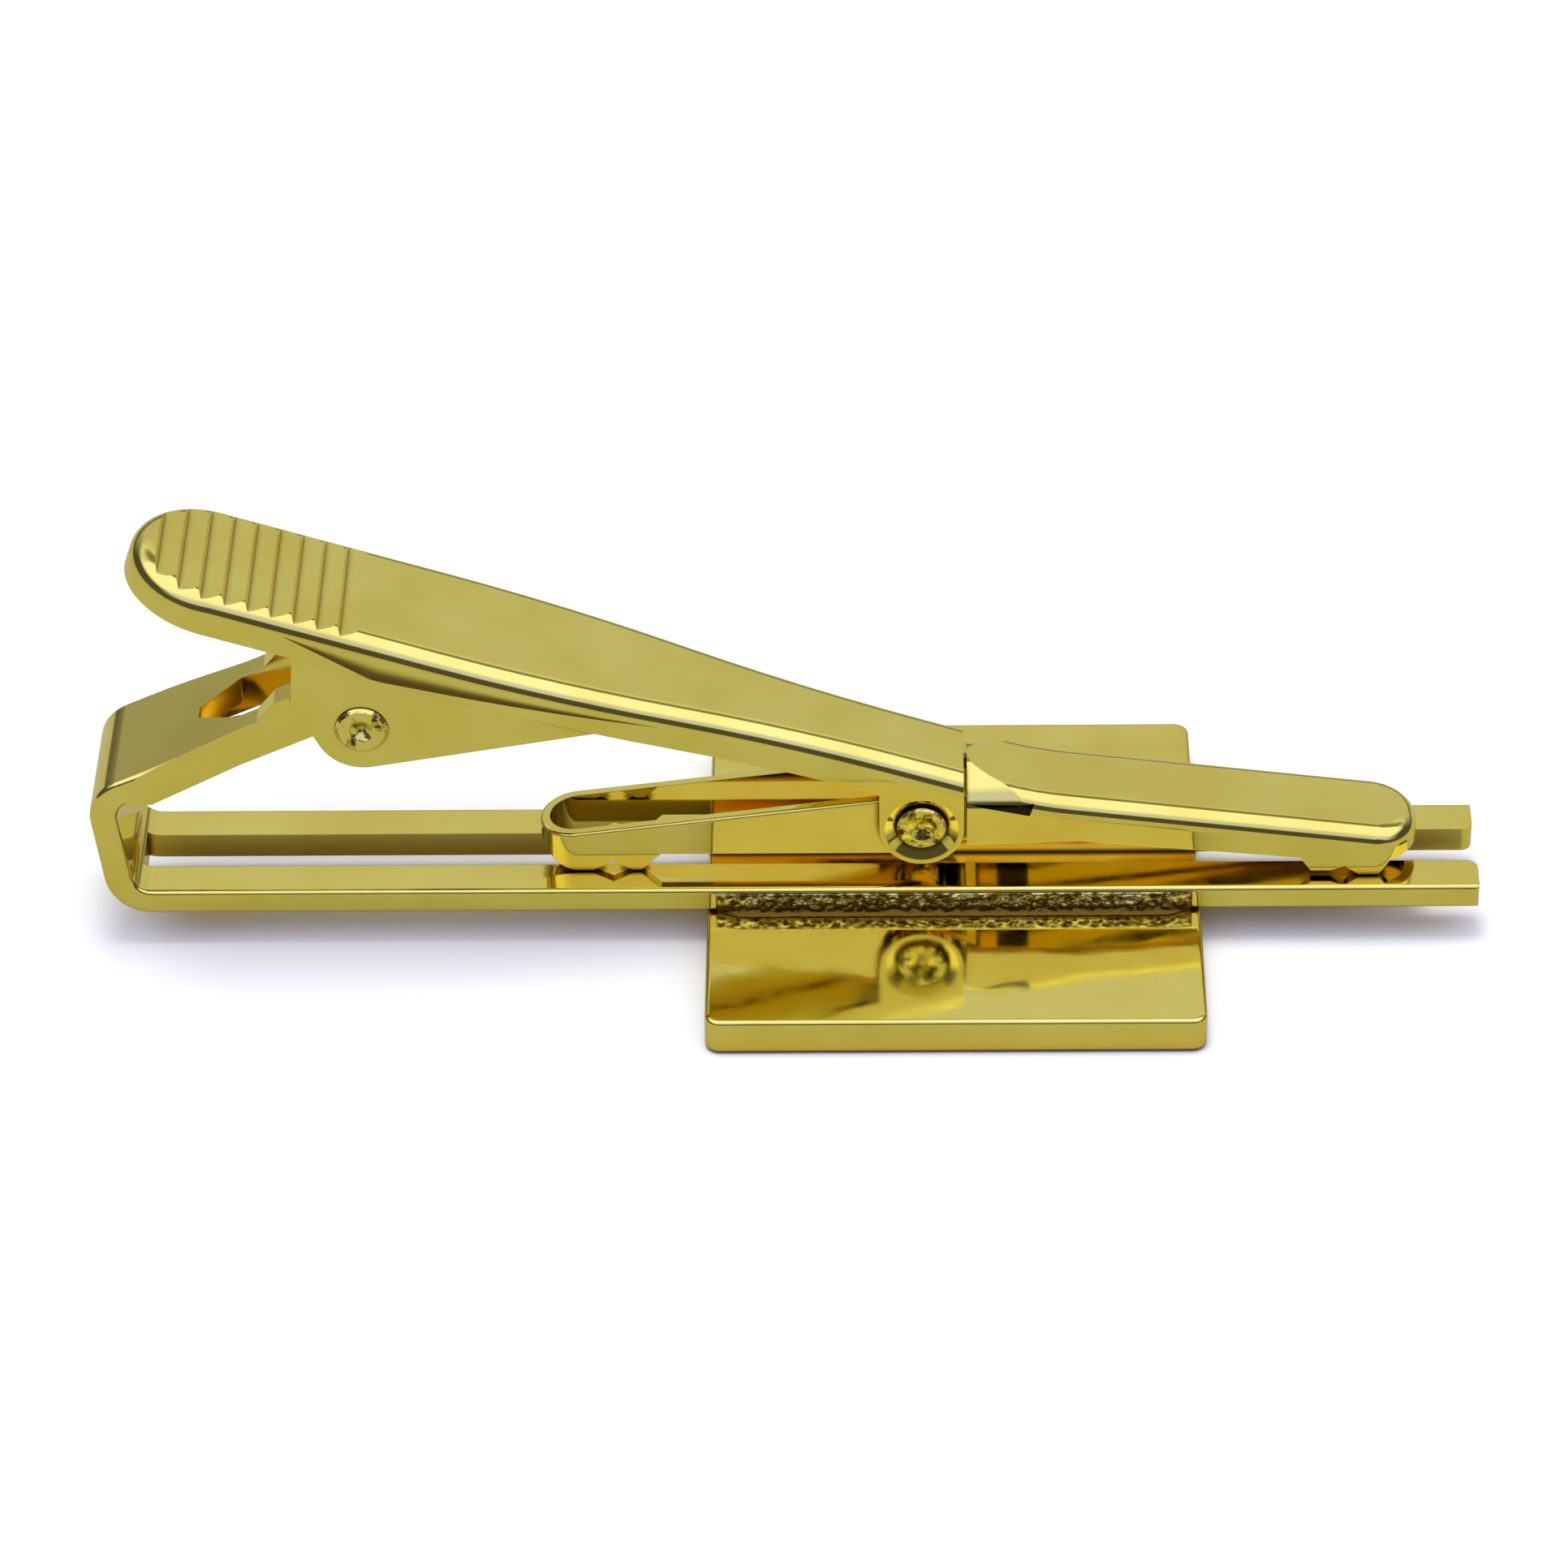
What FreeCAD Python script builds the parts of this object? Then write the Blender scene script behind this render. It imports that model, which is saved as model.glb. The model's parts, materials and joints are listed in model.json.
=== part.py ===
"""Tie clip with a square front plate, a forked back bar, a sprung lever and a rocking toothed jaw.

Millimetres. The origin is the middle of the plate's front face, which lies on the floor. X runs along the
bar to the prong tips, Y across it and Z up, away from the plate.
"""

import FreeCAD, Part
import math
import os
import re

import Sketcher

SIZES = {
    # How far blanks and cuts run past the shape they make
    "overcut": 1.0,
    # Front plate
    "plate_length": 20.0,
    "plate_width": 20.0,
    "plate_thickness": 1.6,
    "plate_corner": 0.6,
    "plate_edge": 0.2,
    # Forked strip: back bar, U-bend and arm
    "bar_length": 56.0,
    "bar_width": 5.6,
    "strip_thickness": 1.1,
    "strip_edge": 0.2,
    "slot_run_in": 0.5,
    "prong_reach": 21.25,
    "prong_corner": 0.45,
    "bend_radius": 1.9,
    "bend_lean": 7.0,
    "arm_slope": 25.0,
    "arm_shoulder": 0.45,
    "arm_neck": 5.0,
    "window_length": 6.7,
    "window_flare": 4.9,
    "window_tip": 0.7,
    "flange_drop": 0.45,
    "lug_thickness": 1.0,
    "lug_wall": 0.97,
    "lug_foot": 3.9,
    "lug_rise": 0.55,
    # Solder seams beside the bar
    "seam_shy": 0.2,
    "seam_width": 0.45,
    "seam_curve": 1.0,
    "seam_end": 0.35,
    # Lever hinge
    "hinge_setback": 11.2,
    "hinge_height": 9.38,
    "hinge_pin_diameter": 1.4,
    "hinge_head_step": 0.35,
    "hinge_head_edge": 0.05,
    "hinge_head_bevel": 0.14,
    "hinge_punch_diameter": 1.0,
    "hinge_punch_tip": 0.2,
    "hinge_punch_depth": 0.3,
    "hinge_clearance": 0.03,
    # Leaf spring round the hinge pin
    "spring_thickness": 0.25,
    "spring_side_gap": 0.2,
    "spring_pin_gap": 0.1,
    "spring_touch_gap": 0.02,
    "spring_lower_leg": 8.0,
    "spring_upper_leg": 7.6,
    # Lever
    "lever_tip": 10.7,
    "lever_rise": 1.56,
    "lever_top": 4.4,
    "lever_depth": 1.65,
    "lever_wall": 0.45,
    "lever_narrow": 4.1,
    "taper_start": 2.0,
    "taper_tail": 0.95,
    "lever_edge": 0.85,
    "lobe_rim": 0.2,
    "ear_clearance": 0.1,
    "ear_thickness": 0.48,
    "ear_inset": 0.42,
    "ear_rim": 0.85,
    "ear_front": 9.0,
    "ear_back": 3.65,
    "ear_heel": 3.0,
    "ear_heel_height": 0.3,
    "rib_inset": 0.95,
    "rib_pitch": 0.94,
    "rib_depth": 0.2,
    "rib_steep": 0.18,
    "rib_crest": 0.05,
    "rib_count": 9,
    # Rocking jaw and its pin
    "jaw_pin_diameter": 2.0,
    "jaw_pin_set_in": 0.14,
    "jaw_pin_bevel": 0.1,
    "jaw_punch_diameter": 1.1,
    "jaw_punch_tip": 0.3,
    "jaw_punch_depth": 0.2,
    "jaw_dish_run": 0.5,
    "jaw_dish_depth": 0.28,
    "jaw_clearance": 0.03,
    "jaw_side_clearance": 0.08,
    "jaw_end_gap": 0.12,
    "jaw_height": 2.42,
    "jaw_wall": 0.4,
    "tooth_clearance": 0.06,
    "tooth_bearing": 0.47,
    "tooth_pitch": 1.95,
    "tooth_inset": 2.0,
    "tooth_flat": 0.8,
    "tooth_flank": 0.45,
    "prong_tail": 2.45,
    "cap_reach": 20.1,
    "cap_nose_flat": 0.2,
    "cap_nose_height": 1.85,
    "cap_kink": 4.6,
    "cap_bend": 14.0,
    "cap_edge": 0.75,
    "cap_shoulder": 1.3,
    "cap_web": 0.5,
    "cap_waist": 6.4,
    "cap_waist_depth": 0.6,
    "cap_heel_depth": 0.75,
    "cap_tooth_root": 1.5,
    "cap_inner_lift": 0.22,
    "trough_nose_gap": 6.75,
    "trough_nose_height": 1.68,
    "trough_nose_depth": 1.1,
    "trough_nose_curve": 1.7,
    "trough_rim_wall": 0.3,
    "trough_floor_wall": 0.55,
    "trough_point": 0.3,
    "trough_rim_edge": 0.13,
}

# Places that follow from the sizes. Each line may use the sizes and the lines above it.
PLACES = {
    "hinge_x": "prong_reach - bar_length + hinge_setback",
    "hinge_z": "plate_thickness + hinge_height",
    "bar_top": "plate_thickness + strip_thickness",
    # The jaw stands on the bar, short of the prong tips, and the lever reaches from the hinge to it.
    "jaw_x": "prong_reach - prong_tail - cap_reach",
    "jaw_z": "bar_top + jaw_height",
    "pin_distance": "sqrt((jaw_x - hinge_x) ^ 2 + (hinge_z - jaw_z) ^ 2)",
    "lever_reach": "sqrt(pin_distance ^ 2 - lever_rise ^ 2)",
    "pin_line_slope": "asin((hinge_z - jaw_z) / pin_distance) / 1 deg",
    "lever_slope": "pin_line_slope + atan(lever_rise / lever_reach) / 1 deg",
    "taper_end": "lever_reach - taper_tail",
    # Rounds that leave a wall about their pins
    "lug_radius": "hinge_pin_diameter / 2 + hinge_clearance + lug_wall",
    "hinge_head_radius": "hinge_pin_diameter / 2 + hinge_head_step",
    "ear_radius": "hinge_head_radius + ear_rim",
    "jaw_dish_radius": "jaw_pin_diameter / 2 + jaw_dish_run",
    "lobe_radius": "jaw_dish_radius + lobe_rim",
    # The arm's top face touches the round of the hinge lugs.
    "arm_foot_x": "hinge_x - lug_radius * sin(arm_slope)",
    "arm_foot_z": "hinge_z + lug_radius * cos(arm_slope)",
    "upper_bend_x": "prong_reach - bar_length + bend_radius",
    "upper_bend_z": "arm_foot_z - bend_radius / cos(arm_slope)"
    " - (arm_foot_x - upper_bend_x) * tan(arm_slope)",
    "lower_bend_z": "plate_thickness + bend_radius",
    "lower_bend_x": "upper_bend_x + (upper_bend_z - lower_bend_z) * tan(bend_lean)",
    "arm_run": "(arm_foot_x - upper_bend_x + bend_radius * sin(arm_slope)) / cos(arm_slope)",
    "flange_depth": "strip_thickness + flange_drop",
    # Widths at the hinge, from the arm outwards to the lever's lip
    "arm_hinge_width": "bar_width - 2 * arm_shoulder",
    "arm_gap": "arm_hinge_width - 2 * lug_thickness",
    "spring_width": "arm_gap - 2 * spring_side_gap",
    "ear_gap": "arm_hinge_width + 2 * ear_clearance",
    "ear_outside": "ear_gap + 2 * ear_thickness",
    "lever_wide": "ear_outside + 2 * ear_inset",
    "taper_curve": "((taper_end - taper_start) ^ 2 + (lever_wide - lever_narrow) ^ 2 / 4)"
    " / (2 * (lever_wide - lever_narrow))",
    "lever_underside": "lever_top - lever_wall",
    # The spring's legs swing out until they touch the arm and the lever.
    "spring_inside": "hinge_pin_diameter / 2 + spring_pin_gap",
    "spring_outside": "spring_inside + spring_thickness",
    "arm_underside": "lug_radius - strip_thickness",
    "spring_low_slope": "arm_slope - asin((arm_underside - spring_touch_gap)"
    " / sqrt(spring_lower_leg ^ 2 + spring_inside ^ 2)) / 1 deg"
    " - atan(spring_inside / spring_lower_leg) / 1 deg",
    "spring_high_slope": "lever_slope + asin((lever_underside - spring_touch_gap)"
    " / sqrt(spring_upper_leg ^ 2 + spring_outside ^ 2)) / 1 deg"
    " - atan(spring_outside / spring_upper_leg) / 1 deg",
    # The trough fits between the lever's lobes, and its walls stand on the two prongs.
    "trough_width": "lever_narrow - 2 * lever_wall - 2 * jaw_side_clearance",
    "slot_width": "trough_width - 2 * tooth_bearing",
    "trough_reach": "jaw_x - hinge_x - trough_nose_gap",
    "trough_rim": "jaw_pin_diameter / 2 + trough_rim_wall",
    "trough_depth": "jaw_pin_diameter / 2 + trough_floor_wall",
    "trough_slope": "atan((trough_rim + jaw_height - trough_nose_height) / trough_reach) / 1 deg",
    # The jaw's cap starts flush with the lever's top.
    "cap_nose": "lever_narrow / 2 - cap_nose_flat",
    "cap_crown": "(lever_narrow ^ 2 / 4 + cap_shoulder ^ 2) / (2 * cap_shoulder)",
    "cap_start": "lobe_radius + jaw_end_gap",
    "cap_start_top": "(lever_top - lever_rise) / cos(lever_slope) - cap_start * tan(lever_slope)",
    "cap_kink_top": "cap_start_top - (cap_kink - cap_start) * tan(lever_slope)",
    "cap_nose_top": "cap_nose_height - jaw_height",
    "cap_slope": "atan((cap_kink_top - cap_nose_top) / (cap_reach - cap_kink)) / 1 deg",
    # The bend keeps clear of the cap's end, where a round of its edges has to fit.
    "cap_bend_run": "min(cap_bend * tan((lever_slope - cap_slope) / 2);"
    " (cap_kink - cap_start - cap_edge) / cos(lever_slope))",
    "cap_bend_radius": "cap_bend_run / tan((lever_slope - cap_slope) / 2)",
    "tooth_tip": "tooth_clearance - jaw_height",
}

# How near counts as touching when edges are picked
TOUCH = 1e-4

doc = FreeCAD.newDocument("tie_clip")
sheet_of = {}


def linked(text):
    """The expression with every named size written as a reference to its sheet."""

    def reference(match):
        word = match.group(0)
        return sheet_of[word] + "." + word if word in sheet_of else word

    return re.sub(r"[a-z][a-z0-9_]*", reference, text)


def fill_sheet(name, cells):
    """A spreadsheet with one named cell to a row."""
    sheet = doc.addObject("Spreadsheet::Sheet", name)
    for row, (alias, content) in enumerate(cells.items(), 1):
        sheet.set("A%d" % row, alias)
        sheet.set("B%d" % row, "=" + linked(content) if isinstance(content, str) else str(content))
        sheet.setAlias("B%d" % row, alias)
        sheet_of[alias] = name
    doc.recompute()
    return sheet


sizes = fill_sheet("sizes", SIZES)
places = fill_sheet("places", PLACES)


def number(text):
    """The present value of an expression."""
    value = sizes.evalExpression(linked(text))
    return float(getattr(value, "Value", value))


def bind(item, **expressions):
    """Ties properties of an object to expressions over the sheets."""
    for name, text in expressions.items():
        item.setExpression(name.replace("__", "."), linked(text))


# Sketches and features


def new_body(name):
    return doc.addObject("PartDesign::Body", name)


def new_sketch(body, name, plane, height=None):
    """A sketch on one of the body's own origin planes, or that far above it."""
    sketch = body.newObject("Sketcher::SketchObject", name)
    origin_plane = [item for item in body.Origin.OriginFeatures if item.Role == plane][0]
    sketch.AttachmentSupport = [(origin_plane, "")]
    sketch.MapMode = "FlatFace"
    if height:
        bind(sketch, AttachmentOffset__Base__z=height)
    return sketch


def pin_point(sketch, item, end, x, y):
    """Ties a point of the sketch to a pair of expressions."""
    for direction, text in (("DistanceX", x), ("DistanceY", y)):
        row = sketch.addConstraint(Sketcher.Constraint(direction, -1, 1, item, end, number(text)))
        sketch.setExpression("Constraints[%d]" % row, linked(text))


def arc_between(start, finish, radius, turn):
    """The short arc from start to finish that turns left or right."""
    chord = finish - start
    side = 1 if turn == "left" else -1
    square = FreeCAD.Vector(-chord.y, chord.x, 0).normalize() * side
    centre = (start + finish) * 0.5 + square * math.sqrt(radius**2 - chord.Length**2 / 4)
    angles = [math.atan2(point.y - centre.y, point.x - centre.x) for point in (start, finish)]
    if turn == "right":
        angles.reverse()
    return Part.ArcOfCircle(Part.Circle(centre, FreeCAD.Vector(0, 0, 1), radius), *angles)


def add_loop(sketch, corners):
    """A closed outline. A corner is (x, y), or (x, y, radius, turn) where an arc leaves it."""
    points = [FreeCAD.Vector(number(corner[0]), number(corner[1]), 0) for corner in corners]
    first = sketch.GeometryCount
    count = len(corners)
    ends = []
    for index, corner in enumerate(corners):
        start, finish = points[index], points[(index + 1) % count]
        if len(corner) == 2:
            sketch.addGeometry(Part.LineSegment(start, finish), False)
            ends.append((1, 2))
        else:
            sketch.addGeometry(arc_between(start, finish, number(corner[2]), corner[3]), False)
            ends.append((1, 2) if corner[3] == "left" else (2, 1))
    for index in range(count):
        after = (index + 1) % count
        joint = (first + index, ends[index][1], first + after, ends[after][0])
        sketch.addConstraint(Sketcher.Constraint("Coincident", *joint))
    for index, corner in enumerate(corners):
        pin_point(sketch, first + index, ends[index][0], corner[0], corner[1])
        if len(corner) > 2:
            value = number(corner[2])
            row = sketch.addConstraint(Sketcher.Constraint("Radius", first + index, value))
            sketch.setExpression("Constraints[%d]" % row, linked(corner[2]))


def add_circle(sketch, x, y, radius):
    centre = FreeCAD.Vector(number(x), number(y), 0)
    item = sketch.addGeometry(Part.Circle(centre, FreeCAD.Vector(0, 0, 1), number(radius)), False)
    pin_point(sketch, item, 3, x, y)
    row = sketch.addConstraint(Sketcher.Constraint("Radius", item, number(radius)))
    sketch.setExpression("Constraints[%d]" % row, linked(radius))


def rectangle(left, right, low, high):
    return [(left, low), (right, low), (right, high), (left, high)]


def feature(body, kind, name, sketch, length=None, symmetric=True):
    """A pad or pocket of a sketch. With no length a pocket goes through everything."""
    made = body.newObject("PartDesign::" + kind, name)
    made.Profile = sketch
    if symmetric:
        made.SideType = "Symmetric"
    if length:
        bind(made, Length=length)
    else:
        made.Type = "ThroughAll"
    doc.recompute()
    return made


def turned(body, name, corners):
    """A solid of revolution round the body's Y axis."""
    sketch = new_sketch(body, name + "_profile", "XY_Plane")
    add_loop(sketch, corners)
    made = body.newObject("PartDesign::Revolution", name)
    made.Profile = sketch
    made.ReferenceAxis = (sketch, ["V_Axis"])
    made.Angle = 360
    doc.recompute()
    return made


def both_ends(half):
    """A pin's outline from that of its far half, which ends on the axis."""
    return [(x, "-" + y) for x, y in reversed(half)] + half


def edge_names(shape, wanted):
    return ["Edge%d" % (place + 1) for place, edge in enumerate(shape.Edges) if wanted(edge)]


def round_edges(body, name, base, radius, wanted):
    """Fillets the edges of the base feature that the test picks."""
    made = body.newObject("PartDesign::Fillet", name)
    made.Base = (base, edge_names(base.Shape, wanted))
    bind(made, Radius=radius)
    doc.recompute()
    return made


def trim_to_plan(body, name, plan, around):
    """Cuts away all that lies outside a plan outline."""
    sketch = new_sketch(body, name + "_outline", "XY_Plane")
    add_loop(sketch, around)
    add_loop(sketch, plan)
    return feature(body, "Pocket", name, sketch)


def place(item, x, z, slope=None):
    """Puts an object at its pin, turned by a slope where it has one."""
    item.Placement = FreeCAD.Placement(FreeCAD.Vector(), FreeCAD.Rotation(FreeCAD.Vector(0, 1, 0), 1))
    bind(item, Placement__Base__x=x, Placement__Base__z=z, Placement__Rotation__Angle=slope or "0")


def is_flat_at(edge, height):
    box = edge.BoundBox
    return abs(box.ZMin - height) < TOUCH and abs(box.ZMax - height) < TOUCH


# Forked strip


def arm_point(along, depth):
    """A point on the arm: so far back from the hinge, so far below the arm's top face."""
    x = "arm_foot_x - (%s) * cos(arm_slope) + (%s) * sin(arm_slope)" % (along, depth)
    z = "arm_foot_z - (%s) * sin(arm_slope) - (%s) * cos(arm_slope)" % (along, depth)
    return x, z


def bend_point(bend, radius, angle):
    """A point on one of the two bends, square to a run at that angle from upright."""
    x = "%s_bend_x - (%s) * cos(%s)" % (bend, radius, angle)
    z = "%s_bend_z - (%s) * sin(%s)" % (bend, radius, angle)
    return x, z


def strip_outline():
    outside, inside = "bend_radius", "bend_radius - strip_thickness"
    return [
        ("prong_reach", "plate_thickness"),
        ("lower_bend_x", "plate_thickness", outside, "right"),
        bend_point("lower", outside, "bend_lean"),
        (*bend_point("upper", outside, "bend_lean"), outside, "right"),
        arm_point("arm_run", "0"),
        arm_point("0", "0"),
        arm_point("0", "strip_thickness"),
        (*arm_point("arm_run", "strip_thickness"), inside, "left"),
        bend_point("upper", inside, "bend_lean"),
        (*bend_point("lower", inside, "bend_lean"), inside, "left"),
        ("lower_bend_x", "bar_top"),
        ("prong_reach", "bar_top"),
    ]


def build_clip_frame():
    body = new_body("clip_frame")
    side = new_sketch(body, "strip_side", "XZ_Plane")
    add_loop(side, strip_outline())
    strip = feature(body, "Pad", "strip", side, "bar_width")

    # Soft edges along both sides of the strip
    half = number("bar_width / 2")
    round_edges(body, "strip_edges", strip, "strip_edge", lambda edge: edge.BoundBox.YLength < TOUCH
                and abs(abs(edge.BoundBox.YMin) - half) < TOUCH)

    # Flanges turned down along the arm, ending in hinge lugs that stand a little above it
    flange = new_sketch(body, "flange_side", "XZ_Plane")
    add_loop(flange, [
        arm_point("arm_run", "strip_thickness"),
        arm_point("arm_run - 2 * (flange_depth - strip_thickness)", "flange_depth"),
        arm_point("0", "flange_depth"),
        arm_point("0", "strip_thickness / 2"),
        arm_point("arm_run", "strip_thickness / 2"),
    ])
    feature(body, "Pad", "flanges", flange, "bar_width")
    lug = new_sketch(body, "lug_side", "XZ_Plane")
    add_circle(lug, "hinge_x", "hinge_z", "lug_radius")
    feature(body, "Pad", "lugs", lug, "bar_width")
    tab = new_sketch(body, "lug_tab_side", "XZ_Plane")
    add_loop(tab, [
        arm_point("lug_foot", "0"),
        arm_point("lug_foot - 2 * lug_rise", "-lug_rise"),
        arm_point("lug_rise", "-lug_rise"),
        arm_point("0", "0"),
        arm_point("0", "strip_thickness / 2"),
        arm_point("lug_foot", "strip_thickness / 2"),
    ])
    feature(body, "Pad", "lug_tabs", tab, "bar_width")

    # Space under the web
    web_side = new_sketch(body, "under_web_side", "XZ_Plane")
    beyond, below = "-2 * lug_radius", "3 * lug_radius"
    add_loop(web_side, [
        arm_point("arm_run", "strip_thickness"),
        arm_point("arm_run", below),
        arm_point(beyond, below),
        arm_point(beyond, "strip_thickness"),
    ])
    feature(body, "Pocket", "under_web", web_side, "arm_gap")

    # Cuts down through the arm, which stop above the bar
    above_arm, past_lugs = "hinge_z + 3 * lug_radius", "hinge_x + 2 * lug_radius"
    arm_cut = above_arm + " - bar_top - strip_thickness / 2"

    # The window that the spring works in is narrow at its far end and flares to the gap between the lugs
    window = new_sketch(body, "window_plan", "XY_Plane", above_arm)
    window_start = "arm_foot_x - window_length * cos(arm_slope)"
    flared = "arm_foot_x - window_flare * cos(arm_slope)"
    add_loop(window, [
        (window_start, "-window_tip / 2"),
        (flared, "-arm_gap / 2"),
        (past_lugs, "-arm_gap / 2"),
        (past_lugs, "arm_gap / 2"),
        (flared, "arm_gap / 2"),
        (window_start, "window_tip / 2"),
    ])
    feature(body, "Pocket", "window", window, arm_cut, symmetric=False)

    # The arm narrows to pass between the lever's ears
    taper = new_sketch(body, "arm_plan", "XY_Plane", above_arm)
    for sign in ("", "-"):
        add_loop(taper, [
            ("upper_bend_x", sign + "bar_width / 2"),
            ("hinge_x - arm_neck", sign + "arm_hinge_width / 2"),
            (past_lugs, sign + "arm_hinge_width / 2"),
            (past_lugs, sign + "bar_width"),
            ("upper_bend_x", sign + "bar_width"),
        ])
    feature(body, "Pocket", "arm_taper", taper, arm_cut, symmetric=False)

    # Slot that makes the two prongs
    slot = new_sketch(body, "slot_plan", "XY_Plane")
    start = "lower_bend_x - slot_run_in"
    add_loop(slot, rectangle(start, "prong_reach + overcut", "-slot_width / 2", "slot_width / 2"))
    forked = feature(body, "Pocket", "slot", slot, "2 * lower_bend_z")
    tip = number("prong_reach")
    round_edges(body, "prong_corners", forked, "prong_corner", lambda edge: edge.BoundBox.YLength < TOUCH
                and edge.BoundBox.ZLength > TOUCH and edge.BoundBox.XMin > tip - TOUCH)

    hole = new_sketch(body, "hinge_hole_side", "XZ_Plane")
    add_circle(hole, "hinge_x", "hinge_z", "hinge_pin_diameter / 2 + hinge_clearance")
    feature(body, "Pocket", "hinge_hole", hole, "2 * bar_width")
    return body


# Front plate and solder


def build_front_plate():
    body = new_body("front_plate")
    plan = new_sketch(body, "plate_plan", "XY_Plane")
    long, wide = "plate_length / 2", "plate_width / 2"
    add_loop(plan, rectangle("-" + long, long, "-" + wide, wide))
    blank = feature(body, "Pad", "plate_blank", plan, "plate_thickness", symmetric=False)
    corners = round_edges(body, "plate_corners", blank, "plate_corner",
                          lambda edge: edge.BoundBox.ZLength > TOUCH)
    round_edges(body, "plate_edges", corners, "plate_edge", lambda edge: edge.BoundBox.ZLength < TOUCH)
    return body


def build_seam(name, side):
    """The solder in the corner between the bar's side and the plate; side is + for the far one."""
    body = new_body(name)
    profile = new_sketch(body, name + "_profile", "YZ_Plane")
    turn = "right" if side else "left"
    add_loop(profile, [
        (side + "bar_width / 2", "plate_thickness"),
        (side + "(bar_width / 2 + seam_width)", "plate_thickness", "seam_curve", turn),
        (side + "bar_width / 2", "bar_top - seam_shy"),
    ])
    feature(body, "Pad", name + "_run", profile, "plate_length - 2 * seam_end")
    return body


# Hinge pin and spring


def build_hinge_pin():
    """A rivet. Each end is spread over the ear into a bevelled head with a punch mark."""
    body = new_body("hinge_pin")
    shank, head = "hinge_pin_diameter / 2", "hinge_head_radius"
    punch, tip = "hinge_punch_diameter / 2", "hinge_punch_tip / 2"
    under = "ear_outside / 2"
    edge = "(ear_outside / 2 + hinge_head_edge)"
    face = "(ear_outside / 2 + hinge_head_edge + hinge_head_bevel)"
    floor = "(ear_outside / 2 + hinge_head_edge + hinge_head_bevel - hinge_punch_depth)"
    half = [
        (shank, under),
        (head, under),
        (head, edge),
        (head + " - hinge_head_bevel", face),
        (punch, face),
        (tip, floor),
        ("0", floor),
    ]
    turned(body, "hinge_pin_turned", both_ends(half))
    place(body, "hinge_x", "hinge_z")
    return body


def spring_point(radius, leg, along):
    """A point on the hairpin: on its round, or so far along its lower or upper leg."""
    if leg == "low":
        x = "hinge_x + (%s) * sin(spring_low_slope) - (%s) * cos(spring_low_slope)" % (radius, along)
        z = "hinge_z - (%s) * cos(spring_low_slope) - (%s) * sin(spring_low_slope)" % (radius, along)
    else:
        x = "hinge_x + (%s) * sin(spring_high_slope) - (%s) * cos(spring_high_slope)" % (radius, along)
        z = "hinge_z + (%s) * cos(spring_high_slope) + (%s) * sin(spring_high_slope)" % (radius, along)
    return x, z


def build_leaf_spring():
    body = new_body("leaf_spring")
    side = new_sketch(body, "spring_side", "XZ_Plane")
    outside, inside = "spring_outside", "spring_inside"
    add_loop(side, [
        spring_point(outside, "low", "spring_lower_leg"),
        (*spring_point(outside, "low", "0"), outside, "left"),
        spring_point(outside, "high", "0"),
        spring_point(outside, "high", "spring_upper_leg"),
        spring_point(inside, "high", "spring_upper_leg"),
        (*spring_point(inside, "high", "0"), inside, "right"),
        spring_point(inside, "low", "0"),
        spring_point(inside, "low", "spring_lower_leg"),
    ])
    feature(body, "Pad", "spring_strip", side, "spring_width")
    return body


# Lever, drawn along its own top with the hinge at its origin


def lobe_point(along, up):
    """A point given level and upright from the jaw pin, in the lever's own frame."""
    x = "lever_reach + (%s) * cos(lever_slope) - (%s) * sin(lever_slope)" % (along, up)
    z = "lever_rise + (%s) * sin(lever_slope) + (%s) * cos(lever_slope)" % (along, up)
    return x, z


def lobe_side_at(height, along):
    """Where the upright line so far from the jaw pin crosses a height above the lever's hinge."""
    shift = "(%s) - (%s - lever_rise) * sin(lever_slope)" % (along, height)
    return "lever_reach + (%s) / cos(lever_slope)" % shift


def lever_plan(inset):
    """The lever's plan, or the plan of its hollow when set in by the wall."""
    wide, narrow = "(lever_wide / 2 - %s)" % inset, "(lever_narrow / 2 - %s)" % inset
    middle = "((lever_wide + lever_narrow) / 4 - %s)" % inset
    tip, shoulder = "%s - lever_tip" % inset, "lever_wide / 2 - lever_tip"
    half_way, end = "(taper_start + taper_end) / 2", "lever_reach + 3 * lobe_radius"
    return [
        (tip, "0", wide, "left"),
        (shoulder, "-" + wide),
        ("taper_start", "-" + wide, "taper_curve", "left"),
        (half_way, "-" + middle, "taper_curve", "right"),
        ("taper_end", "-" + narrow),
        (end, "-" + narrow),
        (end, narrow),
        ("taper_end", narrow, "taper_curve", "right"),
        (half_way, middle, "taper_curve", "left"),
        ("taper_start", wide),
        (shoulder, wide, wide, "left"),
    ]


def tangent_on_ear(x, y, side):
    """Where the line from a point touches the round of the ear."""
    distance = "sqrt((%s) ^ 2 + (%s) ^ 2)" % (x, y)
    angle = "(atan2(%s; %s) %s acos(ear_radius / %s))" % (y, x, side, distance)
    return "ear_radius * cos%s" % angle, "ear_radius * sin%s" % angle


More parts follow.
